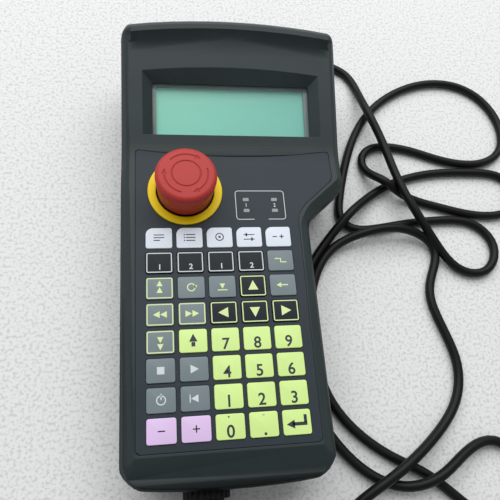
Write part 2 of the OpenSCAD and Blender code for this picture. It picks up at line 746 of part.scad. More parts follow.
// A round tube swept along a route, with its rings square to the way
module tube(route, rings, r, sides = 8) {
    way = [for (i = [0:rings - 1]) smooth(route, i * (len(route) - 1) / (rings - 1))];
    loft([for (i = [0:rings - 1])
        let (t = unit(way[min(i + 1, rings - 1)] - way[max(i - 1, 0)]),
             x = unit(cross(t, [0, 0, 1])), y = cross(x, t))
        [for (k = [0:sides - 1]) let (a = 360 * k / sides) way[i] + r * (x * cos(a) - y * sin(a))]]);
}
module cord() {
    color([0.09, 0.1, 0.1]) {
        tube(lead_route, 2, cord_d / 2);
        tube(cord_route, 82, cord_d / 2);
    }
}
// The rest of the cable, wound up: the outer shape of its turns
module cord_coil() {
    w = coil_w * cord_d;
    color([0.1, 0.11, 0.11]) translate([coil_at[0], coil_at[1], 0]) rotate_extrude($fn = 96)
        translate([coil_r - w / 2, 0]) square([w, coil_turns_high * cord_d]);
}
// A round plug: a boot on the cable, a ribbed coupling ring, and pins in a shallow nose
module connector() {
    boot = 14;
    body = 12;
    ribs = 20;
    ring_l = 16;
    nose = 8;
    nose_r = plug_r - 1.2;
    color([0.35, 0.36, 0.38]) translate(plug_at) rotate([0, -90, 0]) {
        rotate_extrude() polygon([[0, 0], [cord_d / 2 + 0.9, 0], [cord_d / 2 + 2, boot],
            [nose_r - 0.6, boot], [nose_r, boot + 1], [nose_r, boot + body], [0, boot + body]]);
        translate([0, 0, boot + body]) linear_extrude(ring_l) polygon([for (i = [0:4 * ribs - 1])
            let (r = plug_r - (i % 4 < 2 ? 0 : 0.5), a = 90 * i / ribs) r * [cos(a), sin(a)]]);
        translate([0, 0, boot + body + ring_l]) difference() {
            cylinder(r = nose_r, h = nose);
            translate([0, 0, nose - 3]) cylinder(r = nose_r - 1.3, h = past);
        }
        for (a = [0:60:300]) rotate(a) translate([3.2, 0, boot + body + ring_l + nose - 3.5])
            cylinder(r = 0.5, h = 2.9);
    }
}

// ---------- assembly ----------

// The housing's reach in X and Y, which puts the origin under its middle
reach = [for (r = concat(front_rings(0), rear_rings(0))) each r];
mid_x = (max([for (p = reach) p[0]]) + min([for (p = reach) p[0]])) / 2;
mid_y = (max([for (p = reach) p[1]]) + min([for (p = reach) p[1]])) / 2;
module place() { translate([-mid_x, -mid_y, depth]) children(); }

place() front_shell();
place() rear_cover();
place() housing_screws();
place() keypad_overlay();
place() switch_mat();
place() keypad_board();
place() main_board();
place() mode_leds();
place() display_window();
place() display_bezel();
place() display_module();
place() stop_ring();
place() stop_switch_block();
place() stop_plunger();
place() stop_button_head();
place() cable_gland();
place() strain_relief();
for (r = [1:rows], c = [1:cols])
    place() key(r, c);
cord();
cord_coil();
connector();
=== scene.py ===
# Teach pendant: finishes, key caps, printed marks, stop button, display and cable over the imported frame
import json

import bmesh
import bpy
import numpy as np
from mathutils import Matrix, Vector


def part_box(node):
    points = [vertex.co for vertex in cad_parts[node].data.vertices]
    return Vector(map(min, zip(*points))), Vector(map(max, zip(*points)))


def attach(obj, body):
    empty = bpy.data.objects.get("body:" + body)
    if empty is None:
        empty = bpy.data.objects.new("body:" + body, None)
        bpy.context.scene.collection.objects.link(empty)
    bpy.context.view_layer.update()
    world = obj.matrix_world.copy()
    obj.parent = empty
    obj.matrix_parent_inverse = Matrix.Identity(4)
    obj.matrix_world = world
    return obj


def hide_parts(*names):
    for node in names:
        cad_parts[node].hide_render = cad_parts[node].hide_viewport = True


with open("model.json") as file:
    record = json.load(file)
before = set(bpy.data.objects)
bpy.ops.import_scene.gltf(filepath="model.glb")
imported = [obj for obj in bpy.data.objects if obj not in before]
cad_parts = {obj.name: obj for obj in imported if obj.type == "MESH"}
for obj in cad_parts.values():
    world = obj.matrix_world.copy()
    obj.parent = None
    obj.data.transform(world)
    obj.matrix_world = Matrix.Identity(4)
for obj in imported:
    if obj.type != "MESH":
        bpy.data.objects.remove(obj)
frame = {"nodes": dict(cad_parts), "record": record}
nodes = frame["nodes"]
bodies = frame["record"]["behaviour"]["bodies"]
nodeBody = {node: body for body, members in bodies.items() for node in members}
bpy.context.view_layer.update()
mm = 0.001
print("frame loaded:", len(nodes), "nodes")


# Camera and light

viewer = {
    "place": (-0.0372, -0.10786, 0.2727),
    "right": (0.98720, -0.07490, 0.14084),
    "up": (0.01708, 0.92748, 0.37349),
    "lens": 38.455,
    "nearest": 0.01,
}
studio = {
    "skyStrength": 0.30,
    "lampPlace": (-0.05, 0.75, 1.05),
    "lampAim": (0.02, -0.02, 0.02),
    "lampSize": (2.2, 1.3),
    "lampWatts": 21.3,
}


def addCamera(v):
    # The view's right and up lines, squared to each other, with the third one towards the viewer
    right = Vector(v["right"]).normalized()
    up = Vector(v["up"])
    up = (up - right * up.dot(right)).normalized()
    turn = Matrix((right, up, right.cross(up))).transposed().to_4x4()
    camera = bpy.data.cameras.new("camera")
    camera.lens = v["lens"]
    camera.clip_start = v["nearest"]
    holder = bpy.data.objects.new("camera", camera)
    holder.matrix_world = Matrix.Translation(v["place"]) @ turn
    bpy.context.scene.collection.objects.link(holder)
    bpy.context.scene.camera = holder


def addLight(s):
    # One wide lamp from the far side, and an even white sky
    lamp = bpy.data.lights.new("softLamp", "AREA")
    lamp.shape = "RECTANGLE"
    lamp.size, lamp.size_y = s["lampSize"]
    lamp.energy = s["lampWatts"]
    holder = bpy.data.objects.new("softLamp", lamp)
    aim = Vector(s["lampAim"]) - Vector(s["lampPlace"])
    turn = aim.to_track_quat("-Z", "Y").to_matrix().to_4x4()
    holder.matrix_world = Matrix.Translation(s["lampPlace"]) @ turn
    bpy.context.scene.collection.objects.link(holder)
    world = bpy.data.worlds.new("sky")
    world.use_nodes = True
    sky = world.node_tree.nodes["Background"]
    sky.inputs["Color"].default_value = (1, 1, 1, 1)
    sky.inputs["Strength"].default_value = s["skyStrength"]
    bpy.context.scene.world = world
    bpy.context.scene.view_settings.view_transform = "Standard"


addCamera(viewer)
addLight(studio)


# Surfaces

cornerSteps = 6     # straight lines in a rounded corner


def ease(u):
    # From 0 to 1, slow at both ends: 3 u squared less 2 u cubed
    return u * u * (3 - 2 * u)


def cells(rows, cols, closed=True):
    # Quads of a grid: each joins a point to the next one in its row and to the two in the next row
    i, j = np.meshgrid(np.arange(rows - 1), np.arange(cols if closed else cols - 1), indexing="ij")
    k = (j + 1) % cols
    return np.stack([i * cols + j, i * cols + k, (i + 1) * cols + k, (i + 1) * cols + j], -1).reshape(-1, 4)


def roundedBox(halfWidth, halfHeight, radii):
    # Corner arcs, anticlockwise from the lower left: centre + radius * (cos a, sin a) over a quarter turn
    side = np.array([(-1, -1), (1, -1), (1, 1), (-1, 1)])
    radius = np.asarray(radii, float)[:, None]
    centre = side * (np.array([halfWidth, halfHeight]) - radius)
    angle = np.radians(180 + 90 * np.arange(4))[:, None] + np.linspace(0, np.pi / 2, cornerSteps + 1)
    arc = np.stack([np.cos(angle), np.sin(angle)], -1)
    return (centre[:, None, :] + radius[:, :, None] * arc).reshape(-1, 2)


def makePiece(name, points, faces, material, body="housing", smooth=True):
    mesh = bpy.data.meshes.new(name)
    mesh.from_pydata(np.asarray(points).tolist(), [], [list(map(int, f)) for f in faces])
    mesh.validate()
    mesh.polygons.foreach_set("use_smooth", np.full(len(mesh.polygons), smooth))
    mesh.materials.append(material)
    piece = bpy.data.objects.new(name, mesh)
    bpy.context.scene.collection.objects.link(piece)
    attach(piece, body)
    return piece


def ringedPiece(name, rings, material, body):
    # A skin over closed rings of equal length, with its first and last ring filled
    count = rings.shape[1]
    faces = list(cells(len(rings), count))
    faces.append(np.arange(count)[::-1])
    faces.append(np.arange(count) + (len(rings) - 1) * count)
    return makePiece(name, rings.reshape(-1, 3), faces, material, body)


def readPoints(mesh):
    flat = np.empty(len(mesh.vertices) * 3)
    mesh.vertices.foreach_get("co", flat)
    return flat.reshape(-1, 3)


def writePaintedShade(mesh, values):
    # From 0 to 1 at each point: how much painted shade the finish puts there
    paintedShade = mesh.attributes.new("paintedShade", "FLOAT", "POINT")
    paintedShade.data.foreach_set("value", values)


def softCopy(name, material, angle=28):
    # The CAD piece with its points merged, smooth up to an angle between faces
    mesh = nodes[name].data.copy()
    shape = bmesh.new()
    shape.from_mesh(mesh)
    bmesh.ops.remove_doubles(shape, verts=shape.verts, dist=1e-6)
    shape.to_mesh(mesh)
    shape.free()
    mesh.polygons.foreach_set("use_smooth", np.ones(len(mesh.polygons), bool))
    mesh.set_sharp_from_angle(angle=np.radians(angle))
    mesh.materials.clear()
    mesh.materials.append(material)
    piece = bpy.data.objects.new(name + "_finished", mesh)
    bpy.context.scene.collection.objects.link(piece)
    evener = piece.modifiers.new("evener", "WEIGHTED_NORMAL")
    evener.keep_sharp = True
    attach(piece, nodeBody[name])
    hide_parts(name)
    return piece


# Finishes

wanderScale = 55                # size of the patches in which a plastic's colour wanders
wear = {
    "turns": (0.8, -0.5),       # radians: the two ways in which strokes run
    "stretch": 14,              # how much longer than wide a stroke is
    "strokeScale": 170,
    "strokeFrom": 0.66,
    "strokeTo": 0.76,
    "patchScale": 30,
    "patchFrom": 0.52,
    "patchTo": 0.66,
}
paintedShadeGloss = 0.08                # specular level under the painted shade, where less reflection shows
shellLook = {
    "grainScale": 2200,
    "grainHeight": 0.06 * mm,
    "vary": 0.06,
    "edge": 0.5 * mm,
    "gloss": 0.38,
    "worn": 1.7,
}
capLook = {"grainScale": 3000, "grainHeight": 0.01 * mm}
inkLook = {"grainScale": 4000, "grainHeight": 0.005 * mm, "vary": 0.02}
metalLook = {
    "dark": 0.86,               # the darker patches, as a share of the colour
    "scale": 160,
    "grainScale": 3000,
    "grainHeight": 0.01 * mm,
    "edge": 0.2 * mm,
}
paneLook = {
    "colour": (0.3, 0.34, 0.33),
    "roughness": 0.05,
    "alpha": 0.06,
    "grainScale": 120,
    "grainHeight": 0.01 * mm,
}
glassLook = {
    "left": (154, 241, 214),
    "right": (137, 221, 205),
    "width": 80 * mm,
    "roughness": 0.3,
}


def shade(red, green, blue):
    # A screen colour of 0 to 255 as linear light
    c = np.array([red, green, blue]) / 255
    return tuple(np.where(c <= 0.04045, c / 12.92, ((c + 0.055) / 1.055) ** 2.4).tolist())


def scaled(colour, amount):
    return tuple(np.array(colour) * amount)


def shader(name, colour, roughness):
    material = bpy.data.materials.new(name)
    material.use_nodes = True
    tree = material.node_tree
    base = tree.nodes["Principled BSDF"]
    base.inputs["Base Color"].default_value = (*colour, 1)
    base.inputs["Roughness"].default_value = roughness
    return material, tree, base


def noiseOf(tree, scale, detail=3):
    place = tree.nodes.get("place") or tree.nodes.new("ShaderNodeTexCoord")
    place.name = "place"
    noise = tree.nodes.new("ShaderNodeTexNoise")
    noise.inputs["Scale"].default_value = scale
    noise.inputs["Detail"].default_value = detail
    tree.links.new(place.outputs["Object"], noise.inputs["Vector"])
    return noise


def grain(tree, base, scale, height, edge=0):
    # Fine bumps, over edges that are rounded off by a small radius
    noise = noiseOf(tree, scale)
    bump = tree.nodes.new("ShaderNodeBump")
    bump.inputs["Strength"].default_value = 1
    bump.inputs["Distance"].default_value = height
    tree.links.new(noise.outputs["Fac"], bump.inputs["Height"])
    if edge:
        rounder = tree.nodes.new("ShaderNodeBevel")
        rounder.samples = 4
        rounder.inputs["Radius"].default_value = edge
        tree.links.new(rounder.outputs["Normal"], bump.inputs["Normal"])
    tree.links.new(bump.outputs["Normal"], base.inputs["Normal"])


def mottle(tree, base, dark, pale, scale, low=0.35, high=0.65):
    # A base colour that wanders between two values, and reaches them at the noise's low and high levels
    noise = noiseOf(tree, scale, 4)
    ramp = tree.nodes.new("ShaderNodeValToRGB")
    ramp.color_ramp.elements[0].position = low
    ramp.color_ramp.elements[1].position = high
    ramp.color_ramp.elements[0].color = (*dark, 1)
    ramp.color_ramp.elements[1].color = (*pale, 1)
    tree.links.new(noise.outputs["Fac"], ramp.inputs["Fac"])
    tree.links.new(ramp.outputs["Color"], base.inputs["Base Color"])


def between(tree, value, low, high):
    # 0 below low and 1 above high
    step = tree.nodes.new("ShaderNodeMapRange")
    step.inputs["From Min"].default_value = low
    step.inputs["From Max"].default_value = high
    tree.links.new(value, step.inputs["Value"])
    return step.outputs["Result"]


def tint(tree, base, amount, colour):
    # Carries the base colour towards another one by an amount from 0 to 1
    blend = tree.nodes.new("ShaderNodeMix")
    blend.data_type = "RGBA"
    blend.inputs["B"].default_value = (*colour, 1)
    tree.links.new(amount, blend.inputs["Factor"])
    tree.links.new(base.inputs["Base Color"].links[0].from_socket, blend.inputs["A"])
    tree.links.new(blend.outputs["Result"], base.inputs["Base Color"])


def scratches(tree, base, pale, turn, w):
    # Thin pale strokes: a noise drawn out one way, which shows only in the patches of a coarse noise
    drawn = tree.nodes.new("ShaderNodeMapping")
    drawn.inputs["Rotation"].default_value = (0, 0, turn)
    drawn.inputs["Scale"].default_value = (1, w["stretch"], 1)
    strokes = noiseOf(tree, w["strokeScale"], 2)
    tree.links.new(tree.nodes["place"].outputs["Object"], drawn.inputs["Vector"])
    tree.links.new(drawn.outputs["Vector"], strokes.inputs["Vector"])
    patches = noiseOf(tree, w["patchScale"])
    both = tree.nodes.new("ShaderNodeMath")
    both.operation = "MULTIPLY"
    tree.links.new(between(tree, strokes.outputs["Fac"], w["strokeFrom"], w["strokeTo"]), both.inputs[0])
    tree.links.new(between(tree, patches.outputs["Fac"], w["patchFrom"], w["patchTo"]), both.inputs[1])
    tint(tree, base, both.outputs["Value"], pale)


def plastic(name, colour, roughness, grainScale=2600, grainHeight=0.03 * mm, vary=0.07, edge=0, gloss=0.5,
            worn=0):
    # vary is how far the colour wanders each way, and worn how much paler than it the scratches are
    material, tree, base = shader(name, colour, roughness)
    base.inputs["Specular IOR Level"].default_value = gloss
    mottle(tree, base, scaled(colour, 1 - vary), scaled(colour, 1 + vary), wanderScale)
    if worn:
        for turn in wear["turns"]:
            scratches(tree, base, scaled(colour, worn), turn, wear)
    grain(tree, base, grainScale, grainHeight, edge)
    return material


def metal(name, colour, roughness, m):
    material, tree, base = shader(name, colour, roughness)
    base.inputs["Metallic"].default_value = 1
    mottle(tree, base, scaled(colour, m["dark"]), colour, m["scale"])
    grain(tree, base, m["grainScale"], m["grainHeight"], m["edge"])
    return material


def clearPane(name, p):
    material, tree, base = shader(name, p["colour"], p["roughness"])
    base.inputs["Alpha"].default_value = p["alpha"]
    grain(tree, base, p["grainScale"], p["grainHeight"])
    return material


def litGlass(name, g):
    # A pale green that turns slightly bluer to the right
    left, right = shade(*g["left"]), shade(*g["right"])
    material, tree, base = shader(name, left, g["roughness"])
    place = tree.nodes.new("ShaderNodeTexCoord")
    parts = tree.nodes.new("ShaderNodeSeparateXYZ")
    tree.links.new(place.outputs["Object"], parts.inputs["Vector"])
    across = between(tree, parts.outputs["X"], -g["width"] / 2, g["width"] / 2)
    blend = tree.nodes.new("ShaderNodeMix")
    blend.data_type = "RGBA"
    blend.inputs["A"].default_value = (*left, 1)
    blend.inputs["B"].default_value = (*right, 1)
    tree.links.new(across, blend.inputs["Factor"])
    tree.links.new(blend.outputs["Result"], base.inputs["Base Color"])
    return material


def paintShade(material, colour):
    # Painted shade: a darker colour, and less gloss, where the attribute is 1, in engraved lines and at the
    # rim's edge
    tree = material.node_tree
    paintedShade = tree.nodes.new("ShaderNodeAttribute")
    paintedShade.attribute_name = "paintedShade"
    base = tree.nodes["Principled BSDF"]
    tint(tree, base, paintedShade.outputs["Fac"], colour)
    gloss = tree.nodes.new("ShaderNodeMapRange")
    gloss.inputs["To Min"].default_value = base.inputs["Specular IOR Level"].default_value
    gloss.inputs["To Max"].default_value = paintedShadeGloss
    tree.links.new(paintedShade.outputs["Fac"], gloss.inputs["Value"])
    tree.links.new(gloss.outputs["Result"], base.inputs["Specular IOR Level"])


finishes = {
    "housing": plastic("housingPlastic", shade(41, 53, 54), 0.5, **shellLook),
    "housingBack": plastic("housingBackPlastic", shade(29, 37, 38), 0.55, **shellLook),
    "overlay": plastic("overlayFilm", shade(43, 53, 61), 0.5, grainScale=4200, grainHeight=0.02 * mm,
                       vary=0.05, gloss=0.28, worn=1.8),
    "keyWhite": plastic("keyWhite", shade(226, 235, 247), 0.38, vary=0.03, **capLook),
    "keyLime": plastic("keyLime", shade(222, 252, 156), 0.38, vary=0.03, **capLook),
    "keyPink": plastic("keyPink", shade(232, 203, 246), 0.38, vary=0.03, **capLook),
    "keyGrey": plastic("keyGrey", shade(117, 131, 136), 0.4, vary=0.04, **capLook),
    "keyDark": plastic("keyDark", shade(29, 37, 43), 0.45, vary=0.05, gloss=0.22, **capLook),
    "ring": plastic("ringYellow", shade(250, 216, 8), 0.4, grainHeight=0.01 * mm, vary=0.03,
                    edge=0.3 * mm, gloss=0.25),
    "mushroom": plastic("mushroomRed", shade(186, 57, 54), 0.45, grainHeight=0.015 * mm, vary=0.04,
                        gloss=0.3),
    "rubber": plastic("blackRubber", shade(10, 13, 13), 0.55, grainHeight=0.04 * mm, vary=0.1,
                      edge=0.3 * mm, gloss=0.3),
    "cable": plastic("cableSheath", shade(11, 12, 13), 0.45, grainScale=1800, vary=0.12, gloss=0.25),
    "dark": plastic("darkMoulding", shade(34, 35, 37), 0.5, grainScale=2400, vary=0.06),
    "stem": plastic("stemWhite", shade(205, 205, 200), 0.45),
    "lightPipe": plastic("lightPipe", shade(143, 150, 148), 0.3, grainHeight=0.01 * mm, vary=0.02),
    "bezel": plastic("bezelGrey", shade(146, 160, 160), 0.45, grainHeight=0.02 * mm, vary=0.04,
                     edge=0.2 * mm),
    "board": plastic("circuitBoard", shade(38, 92, 62), 0.4, grainScale=1500, vary=0.1),
    "mat": plastic("switchMat", shade(190, 192, 188), 0.6),
    "inkWhite": plastic("inkWhite", shade(215, 222, 226), 0.5, **inkLook),
    "inkLime": plastic("inkLime", shade(224, 245, 174), 0.5, **inkLook),
    "inkDark": plastic("inkDark", shade(40, 46, 58), 0.5, **inkLook),
    "steel": metal("zincSteel", (0.62, 0.62, 0.6), 0.35, metalLook),
    "plugMetal": metal("plugMetal", (0.34, 0.35, 0.37), 0.36, metalLook),
    "pane": clearPane("windowPane", paneLook),
    "display": litGlass("displayGlass", glassLook),
}
# Painted shade: near black, with less gloss, at the housing's rim edge
paintShade(finishes["housing"], shade(9, 12, 13))
# Painted shade: darker red, with less gloss, in the stop button's engraved lines
paintShade(finishes["mushroom"], shade(178, 68, 65))
print("finishes made:", len(finishes))


# Cable

cable = {
    "diameter": 5 * mm,
    "bevelSteps": 5,
    "leadStart": (-20.6, -156.9, 13.5),     # places and lengths from here on are in mm
    "leadPull": 5,          # how strongly the lead keeps its way out of the gland
    "turnPull": 6,          # and its way into the coil
    "leadSteps": 8,
    "coilAt": (9, -189),
    "rings": (22.5, 27.5, 32.5, 37.5),
    "layers": (2.5, 7.5, 12.5, 17.5),
    "seam": 130,            # degrees: where one turn ends and the next begins
    "shift": 45,            # degrees before the seam in which a turn moves to its next place
    "start": 0.06,          # turns past the seam where the lead comes in
    "leave": 10,            # degrees: where the last turn runs out of the coil
    "fall": 6,              # a turn that changes its height by more than this goes down outside
    "bulge": 4,             # and swings out by this on its way
    "stepsPerTurn": 60,
    "tail": 15,             # straight on from the coil before the route begins
    "stepsPerPoint": 5,
}
cableRoute = [
    (39, -139, 2.5), (53, -128, 7), (67, -121, 10.5), (82, -112, 10),
    (98, -102, 4), (113, -88, 2.5), (119, -68, 2.5), (113, -48, 2.5), (108, -30, 2.5), (113, -17, 2.5),
    (120.5, -3.5, 2.5), (112, 7.5, 5), (92, 10.5, 10.5), (75, 7.5, 8.5), (60.5, 3.5, 4), (48.5, -7, 5),
    (41, -24, 2.5), (38.6, -44, 2.5), (38.8, -64, 2.5), (43.5, -84, 2.5), (57, -101, 2.5), (74, -113, 2.5),
    (89, -119.5, 2.5), (103, -133, 2.5), (119, -147, 2.5), (140, -142, 2.5), (147, -122, 2.5),
    (129, -103, 2.5), (108, -112, 6), (92, -123, 11.5), (75, -127, 4), (57, -118, 2.5), (43, -102, 2.5),
    (34, -84, 2.5), (32.5, -50, 2.5), (34.5, -24, 2.5), (45, -6, 2.5), (57, 8, 5), (67, 18.5, 11),
    (79, 29, 5), (92, 38.5, 2.5), (108, 45.5, 2.5), (130, 50, 2.5), (156, 50, 2.5), (174, 49, 2.5),
    (183, 35, 2.5), (173, 20, 2.5), (150, 19, 2.5), (128, 25.5, 2.5), (110, 30.5, 2.5), (99, 35, 7),
    (91, 39.5, 12), (83, 49, 3), (82, 60, 2.5), (90, 68, 2.5), (104, 68, 2.5), (118, 65, 2.5),
    (137, 57, 2.5), (162, 54, 2.5), (182, 66, 2.5), (184, 92, 2.5), (170, 114, 2.5), (145, 120.5, 2.5),
    (118, 113, 2.5), (95, 97, 2.5), (79, 74, 2.5), (69.5, 48, 2.5), (65, 31, 2.5), (62.5, 19, 2.5),
    (70, 10.5, 2.5), (86, 12, 2.5), (105, 15.5, 2.5), (126, 17.5, 2.5), (148, 17, 2.5), (160, 0, 2.5),
    (149, -19, 2.5), (128, -16, 2.5), (117, 3, 6), (107.5, 18, 11), (100, 36, 11.5), (97, 58, 10),
    (93.5, 75, 10), (87.5, 92, 11), (88, 108, 3), (84, 124, 2.5), (68, 131, 2.5), (48, 137, 2.5),
    (36, 140, 3), (30, 140, 6), (22, 140, 8),
]


def splinePoints(route, steps):
    # A uniform cubic B-spline that starts and ends at the route's first and last points
    p = np.asarray(route, float)
    p = np.vstack([2 * p[0] - p[1], p, 2 * p[-1] - p[-2]])
    t = np.linspace(0, 1, steps, endpoint=False)[:, None, None]
    a, b, c, d = (p[i:len(p) - 3 + i] for i in range(4))
    curve = ((1 - t) ** 3 * a + (3 * t**3 - 6 * t**2 + 4) * b
             + (-3 * t**3 + 3 * t**2 + 3 * t + 1) * c + t**3 * d) / 6
    return np.vstack([curve.transpose(1, 0, 2).reshape(-1, 3), p[-2]])


def coilPoints(c):
    # Turns that lie beside and on each other: the third layer inwards, the fourth outwards,
    # then down outside to the second layer inwards and the first one outwards. Each turn keeps its
    # radius and height, and moves to the next one's in the last stretch before the seam.
    inwards = list(c["rings"])[::-1]
    low, second, third, top = c["layers"]
    slots = [(r, third) for r in inwards] + [(r, top) for r in inwards[::-1]]
    slots += [(r, second) for r in inwards] + [(r, low) for r in inwards[::-1]]
    slots = np.array(slots + [slots[-1]], float)
    last = len(slots) - 2
    turns = last + ((c["leave"] - c["seam"]) % 360) / 360
    u = np.linspace(c["start"], turns, int(turns * c["stepsPerTurn"]))
    k = np.minimum(u.astype(int), last)
    part = ease(np.clip((u - k - 1 + c["shift"] / 360) / (c["shift"] / 360), 0, 1))[:, None]
    place = slots[k] * (1 - part) + slots[k + 1] * part
    falls = np.abs(slots[k, 1] - slots[k + 1, 1]) > c["fall"]
    radius = place[:, 0] + c["bulge"] * np.sin(np.pi * part[:, 0]) * falls
    angle = np.radians(c["seam"] + 360 * u)
    x, y = c["coilAt"]
    return np.stack([x + radius * np.cos(angle), y + radius * np.sin(angle), place[:, 1]], -1)


def cablePath(c, route):
    # A cubic Bezier lead from the gland to the coil, the coil, and the spline over the route
    coil = coilPoints(c)
    lead = np.asarray(c["leadStart"])
    into = (coil[1] - coil[0]) / np.linalg.norm(coil[1] - coil[0])
    away = (coil[-1] - coil[-2]) / np.linalg.norm(coil[-1] - coil[-2])
    t = np.linspace(0, 1, c["leadSteps"], endpoint=False)[:, None]
    bend = ((1 - t) ** 3 * lead + 3 * (1 - t) ** 2 * t * (lead - (0, c["leadPull"], 0))
            + 3 * (1 - t) * t**2 * (coil[0] - c["turnPull"] * into) + t**3 * coil[0])
    run = splinePoints([coil[-1], coil[-1] + c["tail"] * away] + route, c["stepsPerPoint"])
    return np.vstack([bend, coil, run[1:]]) * mm


def addCable(c, path, material):
    curve = bpy.data.curves.new("cable", "CURVE")
    curve.dimensions = "3D"
    curve.bevel_depth = c["diameter"] / 2
    curve.bevel_resolution = c["bevelSteps"]
    curve.use_fill_caps = True
    spline = curve.splines.new("POLY")
    spline.points.add(len(path) - 1)
    spline.points.foreach_set("co", np.hstack([path, np.ones((len(path), 1))]).ravel())
    spline.use_smooth = True
    curve.materials.append(material)
    piece = bpy.data.objects.new("cable", curve)
    bpy.context.scene.collection.objects.link(piece)
    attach(piece, "housing")
    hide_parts("cord", "cord_coil")


onCable = [
    softCopy("connector", finishes["plugMetal"], 35),
    softCopy("cable_gland", finishes["rubber"], 35),
    softCopy("strain_relief", finishes["rubber"], 35),
]
addCable(cable, cablePath(cable, cableRoute), finishes["cable"])


# Housing and what shows of its inside

display = {
    "tilt": 15,                 # degrees between the head and the grip
    "halfWidth": 40.6 * mm,
    "halfHeight": 14.2 * mm,
    "below": 2.42 * mm,         # from the middle of the pane down to the characters' glass
    "rows": 5,
    "cols": 9,
}
rim = {
    "left": -51.6,              # mm, as all the places here: inside of these lines nothing moves
    "right": 29.9,
    "foot": -112.4,
    "end": 109.8,
    "band": 3.5,                # over this width the move grows to its full amount
    "curve": 740,               # both ends are arcs: they fall off by x * x / curve
    "gripMiddle": -10.6,        # x of the foot's arc
    "bendHeight": 35,           # z of the line that the head tilts about
    "leftMove": ((-117, 2.2), (-60, 1.7), (-20, 1.0), (20, 0.2), (50, 0)),
    "rightMove": ((-117, 2.3), (-60, 2.0), (-20, 1.3), (0, 1.1), (20, 0.3), (40, 0), (85, 0), (116, 1.2)),
    "footMove": ((-56, 1.3), (-10, 1.3), (34, 1.9)),
    "endMove": 1.1,
    "leftLine": ((-117, -55.2), (-60, -56.6), (-20, -56.6), (20, -58.2), (117, -58)),
    "rightLine": ((-117, 33.9), (-20, 35.3), (4, 35.4), (5, 90), (24, 90), (25, 58.2), (117, 58)),
    "footLine": -117.06,
    "sidePaintedShade": 2,              # how far in from the outline the painted shade on the rim reaches
    "footPaintedShade": 2.8,
    "footShadeFull": 1.35,           # above 1 the painted shade is full on the foot's edge over part of its width
}
keptNodes = {                   # the CAD nodes that show as they are, and their finishes
    "housing_screws": "steel",
    "display_window": "pane",
    "stop_plunger": "stem",
    "stop_switch_block": "dark",
    "main_board": "board",
    "keypad_board": "board",
    "display_module": "board",
    "switch_mat": "mat",
    "mode_leds": "lightPipe",
}


def along(table, at):
    return np.interp(at, *zip(*table))


def widenRim(piece, r):
    # Carries the rim outwards by a millimetre or two: the sides by tables along Y, the foot by one along X
    # and the head's end by one amount. It also paints shade on the rim, growing towards the outline.
    x, y, z = readPoints(piece.data).T / mm

    def grow(past):
        return ease(np.clip(past / r["band"], 0, 1))

    tilt = np.radians(display["tilt"])
    up = y * np.cos(tilt) + (z - r["bendHeight"]) * np.sin(tilt)
    arc = (x - r["gripMiddle"]) ** 2 / r["curve"]
    wide = (grow(x - r["right"]) * along(r["rightMove"], y)
            - grow(r["left"] - x) * along(r["leftMove"], y))
    high = (grow(up - r["end"] + x**2 / r["curve"]) * r["endMove"]
            - grow(r["foot"] - y + arc) * along(r["footMove"], x))
    # Painted shade on the rim: 1 at the outline of the sides and the foot, fading inwards
    fromSide = np.minimum(x - along(r["leftLine"], y), along(r["rightLine"], y) - x)
    fromFoot = y - r["footLine"] - arc
    dark = np.maximum(1 - fromSide / r["sidePaintedShade"], r["footShadeFull"] - fromFoot / r["footPaintedShade"])
    writePaintedShade(piece.data, np.clip(dark, 0, 1))
    moved = np.stack([x + wide, y + high, z], -1) * mm
    piece.data.vertices.foreach_set("co", moved.ravel())
    piece.data.update()


for name, finish in keptNodes.items():
    nodes[name].data.materials[0] = finishes[finish]
widenRim(softCopy("front_shell", finishes["housing"], 11), rim)
widenRim(softCopy("rear_cover", finishes["housingBack"]), rim)
widenRim(softCopy("keypad_overlay", finishes["overlay"]), rim)
softCopy("display_bezel", finishes["bezel"])
softCopy("stop_ring", finishes["ring"], 35)
print("housing finished")


# Display

def onHead(points):
    # Turns a place on the head (right, up along it, out of it) by the tilt about X, from the pane's middle
    low, high = (np.array(corner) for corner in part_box("display_window"))
    a = np.radians(display["tilt"])
    turn = np.array([(1, 0, 0), (0, np.cos(a), -np.sin(a)), (0, np.sin(a), np.cos(a))])
    return (low + high) / 2 + np.asarray(points, float) @ turn.T


def addDisplay(d):
    # A flat grid below the pane
    x, y = np.meshgrid(np.linspace(-d["halfWidth"], d["halfWidth"], d["cols"]),
                       np.linspace(-d["halfHeight"], d["halfHeight"], d["rows"]))
    flat = np.stack([x, y, np.full_like(x, -d["below"])], -1).reshape(-1, 3)
    glass = makePiece("displayGlass", onHead(flat), cells(d["rows"], d["cols"], False), finishes["display"],
                      smooth=False)


addDisplay(display)
print("display made")


# Keys

keys = {
    "rows": 8,
    "cols": 5,
    "flange": 0.6 * mm,         # the CAD key's flange reaches this far past its cap
    "foot": 0.7 * mm,           # the cap starts this far above the bottom of the flange
    "proud": 0.6 * mm,          # how far a cap stands above the overlay
    "corner": 1.1 * mm,
    "leadCorner": 3.4 * mm,     # the upper left corner in the first row
    "leastCorner": 0.3 * mm,
    "edge": 0.28 * mm,          # radius of the cap's upper edge
    "edgeRings": 6,
    "sharp": 40,                # degrees: steeper edges stay sharp
    "colours": ("WWWWW", "DDDDG", "GGGDG", "GGDDD", "GLLLL", "GGLLL", "GGLLL", "PPLLL"),
    "finish": {"W": "keyWhite", "D": "keyDark", "G": "keyGrey", "L": "keyLime", "P": "keyPink"},
}


def keyPlace(row, col):
    low, high = (np.array(corner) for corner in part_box(f"key_r{row}_c{col}"))
    return low, high, (low + high) / 2, (high - low) / 2


